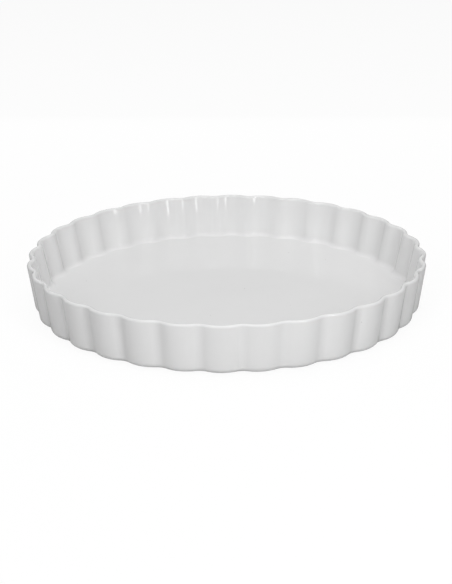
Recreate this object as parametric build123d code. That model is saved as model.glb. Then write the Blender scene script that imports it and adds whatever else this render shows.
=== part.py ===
from build123d import *

import os
from math import atan2, cos, pi, sin

# A fluted quiche dish, cast and fired as one piece of glazed porcelain.
# Millimetres, +Z up. The origin is the middle of the plane that the dish stands on,
# and a flute's crest points along +X.

# Rim and overall size
rim_diameter = 280.0  # across opposite flute crests, where the rounding of the lip begins
overall_height = 36.0

# Flutes, as drawn at the rim
flute_count = 32
flute_depth = 2.7  # from a crest in to the valley beside it
valley_radius = 9.5  # rounding of the groove between two flutes, on the outside

# Wall
base_inset = 4.6  # how far a crest leans in, from the rim to the foot of the wall
rim_wall = 3.4  # thickness at the rim, which ends in a full round
root_wall = 5.0  # thickness where the wall would meet the floor
base_edge_radius = 4.0  # rounding under the foot of the wall

# Floor
floor_thickness = 4.0
inner_corner_radius = 3.2  # rounding between the floor and the wall

# Foot ring, which the dish stands on
foot_height = 1.3
foot_setback = 6.0  # from the rounded foot of the wall in to the ring
foot_root_width = 5.0
foot_tread_width = 3.2  # the flat that touches the table

# Each rounding is a run of narrow straight bands.
corner_bands = 3  # in the quarter turn under the wall, and in the one inside it
lip_bands = 5  # in the half turn over the rim, the middle one flat

half_pitch = pi / flute_count
floor_level = foot_height + floor_thickness

# The rim's outline: each flute is an arc that bulges out, and each groove is a smaller arc
# that joins two flutes without a corner. The two arcs meet on the line between their centres.
crest_radius = rim_diameter / 2
groove_centre = crest_radius - flute_depth + valley_radius
reach = crest_radius + valley_radius
flute_centre = (reach**2 - groove_centre**2) / (2 * (reach - groove_centre * cos(half_pitch)))
flute_radius = crest_radius - flute_centre
flute_spread = atan2(
    groove_centre * sin(half_pitch), groove_centre * cos(half_pitch) - flute_centre
)
groove_spread = flute_spread - half_pitch

# The round of the lip starts and ends at one level, and its flat middle band is the top.
lip_radius = rim_wall / 2
lip_turn = pi / 2 - pi / lip_bands / 2
lip_level = overall_height - lip_radius * sin(lip_turn)


def scale_at(level):
    """The size of the outline at a level, as a share of the rim's."""
    lean = base_inset / crest_radius / (lip_level - foot_height)
    return 1 - lean * (lip_level - level)


def spot(centre, radius, angle):
    """A point at a radius and an angle about a centre."""
    return centre + Vector(radius * cos(angle), radius * sin(angle))


def fluted_outline(inset, level):
    """The closed line round all the flutes at a level, moved in from the outside of the wall."""
    scale = scale_at(level)
    bulge = scale * flute_radius - inset
    hollow = scale * valley_radius + inset
    axis_point = Vector(0, 0, level)
    edges = []
    for flute in range(flute_count):
        middle = 2 * half_pitch * flute
        following = middle + half_pitch
        centre = spot(axis_point, scale * flute_centre, middle)
        beside = spot(axis_point, scale * groove_centre, following)
        start = spot(centre, bulge, middle - flute_spread)
        join = spot(centre, bulge, middle + flute_spread)
        end = spot(beside, -hollow, following - groove_spread)
        edges.append(ThreePointArc(start, spot(centre, bulge, middle), join))
        edges.append(ThreePointArc(join, spot(beside, -hollow, following), end))
    return Wire(edges)


def rounding(inset, level, radius, start, turn, bands):
    """The places along a round part of the wall's section, about its centre.

    Angles run from straight out of the wall, and up.
    """
    angles = [start + turn * band / bands for band in range(bands + 1)]
    return [(inset - radius * cos(angle), level + radius * sin(angle)) for angle in angles]


def fluted_block(section):
    """The solid through the fluted outlines at each place of a section, lowest first."""
    return Solid.make_loft([fluted_outline(*place) for place in section], ruled=True)


def make_wall_and_floor():
    """The dish without its foot ring: the outer form less the space for the filling."""
    side_bands = (lip_bands - 1) // 2
    outside = fluted_block(
        rounding(
            base_edge_radius,
            foot_height + base_edge_radius,
            base_edge_radius,
            -pi / 2,
            pi / 2,
            corner_bands,
        )
        + rounding(lip_radius, lip_level, lip_radius, 0, lip_turn, side_bands)
    )
    inside = fluted_block(
        rounding(
            root_wall + inner_corner_radius,
            floor_level + inner_corner_radius,
            inner_corner_radius,
            -pi / 2,
            pi / 2,
            corner_bands,
        )
        + rounding(lip_radius, lip_level, lip_radius, pi, -lip_turn, side_bands)
    )
    return outside - inside


def make_foot_ring():
    """The ring under the floor, with drafted sides. It reaches up into the floor."""
    valley = scale_at(foot_height) * (crest_radius - flute_depth)
    middle = valley - base_edge_radius - foot_setback - foot_root_width / 2
    root = foot_root_width / 2
    tread = foot_tread_width / 2
    sunk_level = foot_height + floor_thickness / 2
    profile = Polyline(
        (middle - tread, 0, 0),
        (middle + tread, 0, 0),
        (middle + root, 0, foot_height),
        (middle + root, 0, sunk_level),
        (middle - root, 0, sunk_level),
        (middle - root, 0, foot_height),
        close=True,
    )
    return Solid.revolve(Face(Wire(profile)), 360, Axis.Z)


def make_dish():
    return make_wall_and_floor() + make_foot_ring()


os.makedirs("parts", exist_ok=True)
export_step(make_dish(), "parts/dish.step")
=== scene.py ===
from math import cos, pi, radians, sin

import bpy
from mathutils import Matrix, Vector


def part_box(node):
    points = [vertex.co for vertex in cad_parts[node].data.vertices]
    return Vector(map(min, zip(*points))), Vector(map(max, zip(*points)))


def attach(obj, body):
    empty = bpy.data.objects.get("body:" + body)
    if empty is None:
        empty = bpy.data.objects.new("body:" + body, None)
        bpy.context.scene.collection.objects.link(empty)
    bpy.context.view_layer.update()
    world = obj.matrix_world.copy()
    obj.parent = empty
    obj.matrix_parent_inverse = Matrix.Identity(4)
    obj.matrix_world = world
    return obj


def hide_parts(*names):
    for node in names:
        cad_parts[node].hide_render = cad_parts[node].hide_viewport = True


# A fluted quiche dish of white glazed porcelain, on a white studio floor.
# Metres, +Z up, with a flute's crest along +X.

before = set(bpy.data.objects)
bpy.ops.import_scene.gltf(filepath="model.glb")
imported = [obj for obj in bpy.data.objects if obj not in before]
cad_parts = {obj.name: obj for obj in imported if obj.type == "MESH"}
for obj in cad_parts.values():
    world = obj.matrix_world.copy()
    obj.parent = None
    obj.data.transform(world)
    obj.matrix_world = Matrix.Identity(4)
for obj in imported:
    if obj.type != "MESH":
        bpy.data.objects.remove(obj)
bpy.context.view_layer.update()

mm = 0.001
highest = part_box("dish")[1]

# The dish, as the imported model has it
rim_radius = highest[0]
overall_height = highest[2]
flute_count = 32
flute_depth = 2.7 * mm
valley_radius = 9.5 * mm
base_inset = 4.6 * mm
rim_wall = 3.4 * mm
root_wall = 5.0 * mm
base_edge_radius = 4.0 * mm
floor_thickness = 4.0 * mm
inner_corner_radius = 3.2 * mm
foot_height = 1.3 * mm
foot_setback = 6.0 * mm
foot_root_width = 5.0 * mm
foot_tread_width = 3.2 * mm
foot_edge_radius = 0.5 * mm

lip_radius = rim_wall / 2
lip_level = overall_height - lip_radius
floor_level = foot_height + floor_thickness

# How finely the dish is drawn: points round one flute and one groove, steps along the section,
# and shares of the way out at which the flat floor and the underside have a ring of points.
# Points closer than the seam's distance are joined. A count is told from the next at the
# half between them, where rounding can't change the answer.
flute_points = 20
groove_points = 12
corner_steps = 14
wall_steps = 7
lip_steps = 18
base_edge_steps = 12
foot_edge_steps = 5
floor_shares = (0, 0.2, 0.4, 0.6, 0.8, 0.93, 0.98)
underside_shares = (0.96, 0.75, 0.5, 0.25, 0)
seam_distance = 0.01 * mm
between_counts = 0.5

# The glaze, and the bare clay of the tread
thin_glaze = (0.765, 0.765, 0.765, 1)
thick_glaze = (0.795, 0.795, 0.795, 1)
glaze_ior = 1.5
glaze_roughness = 0.01
roughness_change = 0.01
flow_size = 34 * mm
drift_size = 9 * mm
flow_share = 0.7
glaze_swell = 0.05 * mm
glaze_ripple = 0.004 * mm
dark_bisque = (0.62, 0.61, 0.59, 1)
pale_bisque = (0.72, 0.71, 0.69, 1)
bisque_roughness = 0.85
bisque_grain = 0.03 * mm
grain_size = 0.7 * mm
noise_middle = 0.5
bare_height = 0.6 * mm
bare_edge = 0.15 * mm
bare_unevenness = 0.2 * mm
speck_colour = (0.33, 0.32, 0.31, 1)
speck_strength = 0.85
speck_core = 0.4

# Iron specks in the glaze, in millimetres: x, y, level and radius
glaze_specks = [
    (72.6, 70.9, 5.3, 0.42),
    (12.3, 8.0, 5.3, 0.45),
    (-10.1, -44.6, 5.3, 0.40),
    (44.8, 87.0, 5.3, 0.45),
    (44.8, -25.5, 5.3, 0.30),
    (-103.6, 23.2, 5.3, 0.40),
    (89.1, -103.6, 24.3, 0.38),
    (67.5, -115.9, 5.3, 0.38),
]

# The camera, fitted to the outlines in the photograph
picture_height = 584
camera_sensor = 36 * mm
camera_focal_pixels = 1424.0
camera_elevation = 20.701
camera_turn = 1.878
camera_roll = -0.574
camera_place = Vector((-0.8 * mm, -949.9 * mm, 364.6 * mm))

# The studio: panels of soft light, with the azimuth and elevation in degrees from the dish
white = (1, 1, 1, 1)
floor_card = (0.62, 0.62, 0.62, 1)
floor_whiteness = 0.93
floor_reach = 6.0
room_light = 0.0

# name, azimuth, distance, bottom, top, width, brightness
upright_panels = [
    ("front_right_strip", -58, 0.75, 0.096, 1.2, 0.13, 5.5),
    ("front_left_strip", -109, 0.75, 0.40, 1.2, 0.16, 4.0),
    ("back_panel", 90, 0.55, 0.02, 0.5, 0.8, 0.57),
]

# name, azimuth, elevation, distance, width, height, brightness, whether the glaze mirrors it
aimed_panels = [
    ("front_panel", -86, 31, 1.8, 2.4, 0.7, 3.28, False),
    ("overhead_panel", -90, 86, 1.5, 1.0, 1.0, 1.96, True),
    ("high_back_panel", 90, 65, 1.5, 1.2, 0.7, 1.14, True),
    ("left_panel", 164, 31, 1.6, 1.9, 0.9, 0.99, True),
    ("back_right_panel", 45, 40, 1.6, 1.2, 0.9, 0.62, True),
]


class Maths:
    """A number or vector socket. Each of Python's operators on it adds a Math node."""

    def __init__(self, maker, socket):
        self.maker = maker
        self.socket = socket

    def _maths(self, operation, *values):
        return self.maker.node("ShaderNodeMath", {"operation": operation}, dict(enumerate(values)))

    def __add__(self, other):
        return self._maths("ADD", self, other)

    def __sub__(self, other):
        return self._maths("SUBTRACT", self, other)

    def __mul__(self, other):
        return self._maths("MULTIPLY", self, other)

    def __truediv__(self, other):
        return self._maths("DIVIDE", self, other)

    def __rsub__(self, other):
        return self._maths("SUBTRACT", other, self)

    def __rtruediv__(self, other):
        return self._maths("DIVIDE", other, self)

    def __neg__(self):
        return self._maths("MULTIPLY", self, -1)

    def __lt__(self, other):
        return self._maths("LESS_THAN", self, other)

    __radd__ = __add__
    __rmul__ = __mul__

    def floor(self):
        return self._maths("FLOOR", self)

    def sine(self):
        return self._maths("SINE", self)

    def cosine(self):
        return self._maths("COSINE", self)

    def also(self, name):
        """Another output of the same node."""
        return Maths(self.maker, self.socket.node.outputs[name])


class NodeMaker:
    """Adds nodes to one tree."""

    def __init__(self, tree):
        self.tree = tree

    def node(self, kind, settings=None, sockets=None, output=0):
        """A node of a kind. Its settings are set first, then its sockets get values or links."""
        made = self.tree.nodes.new(kind)
        for name, value in (settings or {}).items():
            setattr(made, name, value)
        for name, value in (sockets or {}).items():
            if isinstance(value, Maths):
                self.tree.links.new(value.socket, made.inputs[name])
            else:
                made.inputs[name].default_value = value
        if not made.outputs:
            return made
        return Maths(self, made.outputs[output])

    def choose(self, first_if, first, second):
        """The first value where the mask is 1, and the second where it is 0."""
        return second + first_if * (first - second)

    def fade(self, value, nothing_at, all_at):
        """A mask that rises smoothly from 0 at one value to 1 at another."""
        return self.node(
            "ShaderNodeMapRange",
            {"interpolation_type": "SMOOTHSTEP"},
            {"Value": value, "From Min": nothing_at, "From Max": all_at},
        )

    def blend(self, mask, first, second):
        """A colour that goes from the first where the mask is 0 to the second where it is 1."""
        return self.node(
            "ShaderNodeMix", {"data_type": "RGBA"}, {0: mask, 6: first, 7: second}, output=2
        )

    def noise(self, place, size, detail):
        """Noise from 0 to 1, with swells of a size."""
        return self.node(
            "ShaderNodeTexNoise", None, {"Vector": place, "Scale": 1 / size, "Detail": detail}
        )

    def heading(self, angle, length):
        """A level vector of a length, at an angle from +X."""
        return self.node(
            "ShaderNodeCombineXYZ", None, {"X": length * angle.cosine(), "Y": length * angle.sine()}
        )


def round_run(x, level, radius, start, end, steps):
    """Places along a round part of the section. Angles run from the rim's side, and up."""
    angles = [start + (end - start) * step / steps for step in range(steps + 1)]
    return [(x - radius * cos(angle), level + radius * sin(angle)) for angle in angles]


def straight_run(start, end, steps):
    """Places between two places, without the ends."""
    return [
        tuple(a + (b - a) * step / steps for a, b in zip(start, end)) for step in range(1, steps)
    ]


def ring_run(x, level, radius, start, end, steps):
    """Places along a round part of the foot ring's section. Angles run from outwards, and up."""
    angles = [start + (end - start) * step / steps for step in range(steps + 1)]
    return [(x + radius * cos(angle), level + radius * sin(angle)) for angle in angles]


def scale_at(level):
    """The size of the outline at a level, as a share of the rim's."""
    lean = base_inset / rim_radius / (lip_level - foot_height)
    return 1 - lean * (lip_level - level)


def dish_section():
    """The dish's section from the middle of the floor over the lip to the middle underneath.

    Each point is (x, roundness, level). Where roundness is 0 the point is drawn round the
    flutes, x in from the outside of the wall, and where it is 1 it is drawn round a circle of
    radius x.
    """
    corner = round_run(
        root_wall + inner_corner_radius,
        floor_level + inner_corner_radius,
        inner_corner_radius,
        -pi / 2,
        0,
        corner_steps,
    )
    lip = round_run(lip_radius, lip_level, lip_radius, pi, 0, lip_steps)
    foot = round_run(
        base_edge_radius,
        foot_height + base_edge_radius,
        base_edge_radius,
        0,
        -pi / 2,
        base_edge_steps,
    )
    inner_face = straight_run(corner[-1], lip[0], wall_steps)
    outer_face = straight_run(lip[-1], foot[0], wall_steps)
    wall = corner + inner_face + lip + outer_face + foot

    valley = scale_at(foot_height) * (rim_radius - flute_depth) - base_edge_radius
    ring_middle = valley - foot_setback - foot_root_width / 2
    ring_start = ring_middle + foot_root_width / 2
    ring_end = ring_middle - foot_root_width / 2
    tread_start = ring_middle + foot_tread_width / 2
    tread_end = ring_middle - foot_tread_width / 2
    edge = foot_edge_radius
    underside = (
        [(valley - foot_setback / 2, foot_height), (ring_start, foot_height)]
        + ring_run(tread_start, edge, edge, 0, -pi / 2, foot_edge_steps)
        + ring_run(tread_end, edge, edge, -pi / 2, -pi, foot_edge_steps)
        + [(ring_end, foot_height)]
        + [(ring_end * share, foot_height) for share in underside_shares]
    )
    floor_edge = scale_at(floor_level) * (rim_radius - flute_depth) - root_wall - inner_corner_radius
    section = [(floor_edge * share, 1, floor_level) for share in floor_shares]
    section += [(x, 0, level) for x, level in wall]
    section += [(x, 1, level) for x, level in underside]
    return section


def line_mesh(name, places):
    """A mesh of the places joined in a line."""
    mesh = bpy.data.meshes.new(name)
    mesh.from_pydata(places, [(index, index + 1) for index in range(len(places) - 1)], [])
    return mesh


dish_inputs = {
    "Flutes": ("NodeSocketInt", flute_count),
    "Points on a Flute": ("NodeSocketInt", flute_points),
    "Points in a Groove": ("NodeSocketInt", groove_points),
    "Rim Radius": ("NodeSocketFloat", rim_radius),
    "Flute Depth": ("NodeSocketFloat", flute_depth),
    "Valley Radius": ("NodeSocketFloat", valley_radius),
    "Base Inset": ("NodeSocketFloat", base_inset),
    "Lip Level": ("NodeSocketFloat", lip_level),
    "Foot Level": ("NodeSocketFloat", foot_height),
}


def dish_tree(material):
    """The nodes that draw the section round the flutes."""
    tree = bpy.data.node_groups.new("fluted_dish", "GeometryNodeTree")
    tree.interface.new_socket("Geometry", in_out="INPUT", socket_type="NodeSocketGeometry")
    for name, (kind, value) in dish_inputs.items():
        tree.interface.new_socket(name, in_out="INPUT", socket_type=kind)
    tree.interface.new_socket("Geometry", in_out="OUTPUT", socket_type="NodeSocketGeometry")
    maker = NodeMaker(tree)
    section = maker.node("NodeGroupInput")

    # The rim's outline: a flute's arc and the smaller arc of the groove beside it
    crest = section.also("Rim Radius")
    valley = section.also("Valley Radius")
    half_pitch = pi / section.also("Flutes")
    groove_centre = crest - section.also("Flute Depth") + valley
    reach = crest + valley
    groove_along = groove_centre * half_pitch.cosine()
    flute_centre = (reach * reach - groove_centre * groove_centre) / (2 * (reach - groove_along))
    flute_spread = maker.node(
        "ShaderNodeMath",
        {"operation": "ARCTAN2"},
        {0: groove_centre * half_pitch.sine(), 1: groove_along - flute_centre},
    )
    groove_spread = flute_spread - half_pitch

    # A grid, with a column for each point of the outline and a row for each of the section
    rows = maker.node("GeometryNodeAttributeDomainSize", None, {"Geometry": section})
    on_flute = section.also("Points on a Flute")
    in_groove = section.also("Points in a Groove")
    in_pitch = on_flute + in_groove
    grid = maker.node(
        "GeometryNodeMeshGrid",
        None,
        {"Vertices X": section.also("Flutes") * in_pitch + 1, "Vertices Y": rows},
    )
    index = maker.node("GeometryNodeInputIndex")
    column = ((index + between_counts) / rows).floor()
    row = index - column * rows
    place = maker.node(
        "GeometryNodeSampleIndex",
        {"data_type": "FLOAT_VECTOR"},
        {"Geometry": section, "Value": maker.node("GeometryNodeInputPosition"), "Index": row},
    )
    inward = maker.node("ShaderNodeSeparateXYZ", None, {"Vector": place})
    roundness = inward.also("Y")
    level = inward.also("Z")

    # The outline at the row's level, moved in by the row's inset
    lip = section.also("Lip Level")
    lean = section.also("Base Inset") / crest / (lip - section.also("Foot Level"))
    scale = 1 - lean * (lip - level)
    flute = ((column + between_counts) / in_pitch).floor()
    along = column - flute * in_pitch
    is_flute = along < on_flute - between_counts
    middle = maker.choose(is_flute, 2 * half_pitch * flute, 2 * half_pitch * flute + half_pitch)
    turn = maker.choose(
        is_flute,
        flute_spread * (2 * along / on_flute - 1),
        groove_spread * (1 - 2 * (along - on_flute) / in_groove),
    )
    centre = maker.choose(is_flute, flute_centre, groove_centre) * scale
    inset = inward * (1 - roundness)
    radius = maker.choose(is_flute, scale * (crest - flute_centre) - inset, -(scale * valley) - inset)
    fluted = maker.node(
        "ShaderNodeVectorMath",
        {"operation": "ADD"},
        {0: maker.heading(middle, centre), 1: maker.heading(middle + turn, radius)},
    )
    level_heading = maker.node("ShaderNodeVectorMath", {"operation": "NORMALIZE"}, {0: fluted})
    circle = maker.node(
        "ShaderNodeVectorMath", {"operation": "SCALE"}, {0: level_heading, "Scale": inward}
    )
    flat = maker.node(
        "ShaderNodeMix",
        {"data_type": "VECTOR"},
        {0: roundness, 4: fluted, 5: circle},
        output=1,
    )
    lifted = maker.node(
        "ShaderNodeVectorMath",
        {"operation": "ADD"},
        {0: flat, 1: maker.node("ShaderNodeCombineXYZ", None, {"Z": level})},
    )
    drawn = maker.node("GeometryNodeSetPosition", None, {"Geometry": grid, "Position": lifted})
    joined = maker.node(
        "GeometryNodeMergeByDistance", None, {"Geometry": drawn, "Distance": seam_distance}
    )
    outward = maker.node("GeometryNodeFlipFaces", None, {"Mesh": joined})
    smooth = maker.node("GeometryNodeSetShadeSmooth", None, {"Geometry": outward})
    real = maker.node("GeometryNodeRealizeInstances", None, {"Geometry": smooth})
    glazed = maker.node("GeometryNodeSetMaterial", None, {"Geometry": real, "Material": material})
    maker.node("NodeGroupOutput", None, {"Geometry": glazed})
    return tree


def make_dish(material):
    """The dish as one plain mesh."""
    section = bpy.data.objects.new("dish_section", line_mesh("dish_section", dish_section()))
    bpy.context.scene.collection.objects.link(section)
    modifier = section.modifiers.new("fluted_dish", "NODES")
    modifier.node_group = dish_tree(material)
    for item in modifier.node_group.interface.items_tree:
        if item.in_out == "INPUT" and item.name in dish_inputs:
            modifier[item.identifier] = dish_inputs[item.name][1]
    evaluated = section.evaluated_get(bpy.context.evaluated_depsgraph_get())
    mesh = bpy.data.meshes.new_from_object(evaluated)
    section.modifiers.remove(modifier)
    bpy.data.objects.remove(section)
    mesh.name = "porcelain_dish"
    dish = bpy.data.objects.new("porcelain_dish", mesh)
    bpy.context.scene.collection.objects.link(dish)
    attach(dish, "root")
    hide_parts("dish")
    return dish


def new_material(name):
    material = bpy.data.materials.new(name)
    material.use_nodes = True
    material.node_tree.nodes.clear()
    return material, NodeMaker(material.node_tree)


def white_glaze():
    """Glossy white glaze over porcelain, with the tread of the foot ring left bare.

    The glaze lies a little unevenly, so it sways the reflections, and it has a few iron specks.
    """
    material, maker = new_material("white_glaze")
    place = maker.node("ShaderNodeTexCoord", output="Object")
    height = maker.node("ShaderNodeSeparateXYZ", None, {"Vector": place}, output="Z")
    flow = maker.noise(place, flow_size, detail=1.0)
    drift = maker.noise(place, drift_size, detail=2.0)
    grain = maker.noise(place, grain_size, detail=3.0)

    bare = maker.fade(height + (drift - noise_middle) * bare_unevenness, bare_height, bare_height - bare_edge)
    specks = 0
    for x, y, level, radius in glaze_specks:
        away = maker.node(
            "ShaderNodeVectorMath",
            {"operation": "DISTANCE"},
            {0: place, 1: (x * mm, y * mm, level * mm)},
            output="Value",
        )
        specks = specks + maker.fade(away, radius * mm, speck_core * radius * mm)

    thickness = flow * flow_share + drift * (1 - flow_share)
    glaze = maker.blend(thickness, thin_glaze, thick_glaze)
    speckled = maker.blend(specks * speck_strength, glaze, speck_colour)
    colour = maker.blend(bare, speckled, maker.blend(grain, dark_bisque, pale_bisque))
    gloss = glaze_roughness + (drift - noise_middle) * roughness_change
    roughness = maker.choose(bare, bisque_roughness, gloss)

    swell = maker.node(
        "ShaderNodeBump",
        None,
        {"Strength": 1.0, "Distance": 1.0, "Height": flow * glaze_swell + drift * glaze_ripple},
    )
    rough = maker.node(
        "ShaderNodeBump",
        None,
        {"Strength": 1.0, "Distance": 1.0, "Height": bare * grain * bisque_grain, "Normal": swell},
    )
    shader = maker.node(
        "ShaderNodeBsdfPrincipled",
        None,
        {"Base Color": colour, "Roughness": roughness, "IOR": glaze_ior, "Normal": rough},
    )
    maker.node("ShaderNodeOutputMaterial", None, {"Surface": shader})
    return material


def studio_white():
    """White to the camera, with a faint shadow, and pale grey card to all else."""
    material, maker = new_material("studio_white")
    path = maker.node("ShaderNodeLightPath", output="Is Camera Ray")
    glow = maker.node("ShaderNodeEmission", None, {"Color": white, "Strength": 1.0})
    card = maker.node("ShaderNodeBsdfDiffuse", None, {"Color": floor_card})
    shadow = maker.node("ShaderNodeBsdfDiffuse", None, {"Color": white})
    mixed = maker.node("ShaderNodeMixShader", None, {0: floor_whiteness, 1: shadow, 2: glow})
    seen = maker.node("ShaderNodeMixShader", None, {0: path, 1: card, 2: mixed})
    maker.node("ShaderNodeOutputMaterial", None, {"Surface": seen})
    return material


def make_floor():
    mesh = bpy.data.meshes.new("studio_floor")
    corners = [(-1, -1, 0), (1, -1, 0), (1, 1, 0), (-1, 1, 0)]
    places = [floor_reach * Vector(corner) for corner in corners]
    mesh.from_pydata(places, [], [(0, 1, 2, 3)])
    mesh.materials.append(studio_white())
    floor = bpy.data.objects.new("studio_floor", mesh)
    bpy.context.scene.collection.objects.link(floor)


def make_world():
    """White to the camera, and dark to all else: the panels are the only light."""
    world = bpy.data.worlds.new("studio")
    bpy.context.scene.world = world
    world.use_nodes = True
    world.node_tree.nodes.clear()
    maker = NodeMaker(world.node_tree)
    path = maker.node("ShaderNodeLightPath", output="Is Camera Ray")
    room = maker.node("ShaderNodeBackground", None, {"Color": white, "Strength": room_light})
    backdrop = maker.node("ShaderNodeBackground", None, {"Color": white, "Strength": 1.0})
    seen = maker.node("ShaderNodeMixShader", None, {0: path, 1: room, 2: backdrop})
    maker.node("ShaderNodeOutputWorld", None, {"Surface": seen})


def make_panel(name, place, aim, width, height, brightness, mirrored=True):
    """A soft panel of light that faces a place. Its brightness is that of its surface.

    The camera doesn't see it, and the glaze mirrors it only if told to.
    """
    lamp = bpy.data.lights.new(name, "AREA")
    lamp.shape = "RECTANGLE"
    lamp.size = width
    lamp.size_y = height
    lamp.energy = brightness * pi * width * height
    panel = bpy.data.objects.new(name, lamp)
    panel.location = place
    panel.rotation_euler = (aim - place).to_track_quat("-Z", "Y").to_euler()
    panel.visible_camera = False
    panel.visible_glossy = mirrored
    bpy.context.scene.collection.objects.link(panel)


def direction(azimuth, elevation):
    """The direction at an azimuth and an elevation in degrees."""
    turn = radians(azimuth)
    rise = radians(elevation)
    return Vector((cos(rise) * cos(turn), cos(rise) * sin(turn), sin(rise)))


def make_lights():
    for name, azimuth, distance, bottom, top, width, brightness in upright_panels:
        middle = Vector((0, 0, (bottom + top) / 2))
        place = distance * direction(azimuth, 0) + middle
        make_panel(name, place, middle, width, top - bottom, brightness)
    for name, azimuth, elevation, distance, width, height, brightness, mirrored in aimed_panels:
        place = distance * direction(azimuth, elevation)
        make_panel(name, place, Vector(), width, height, brightness, mirrored)


def make_camera():
    lens = bpy.data.cameras.new("camera")
    lens.sensor_fit = "AUTO"
    lens.sensor_width = camera_sensor / mm
    lens.lens = camera_focal_pixels / picture_height * lens.sensor_width
    camera = bpy.data.objects.new("camera", lens)
    turn = Matrix.Rotation(radians(camera_turn), 4, "Z")
    tilt = Matrix.Rotation(pi / 2 - radians(camera_elevation), 4, "X")
    roll = Matrix.Rotation(radians(camera_roll), 4, "Z")
    camera.matrix_world = turn @ Matrix.Translation(camera_place) @ tilt @ roll
    bpy.context.scene.collection.objects.link(camera)
    bpy.context.scene.camera = camera


make_dish(white_glaze())
make_floor()
make_world()
make_lights()
make_camera()
bpy.context.scene.view_settings.view_transform = "Standard"
bpy.context.view_layer.update()
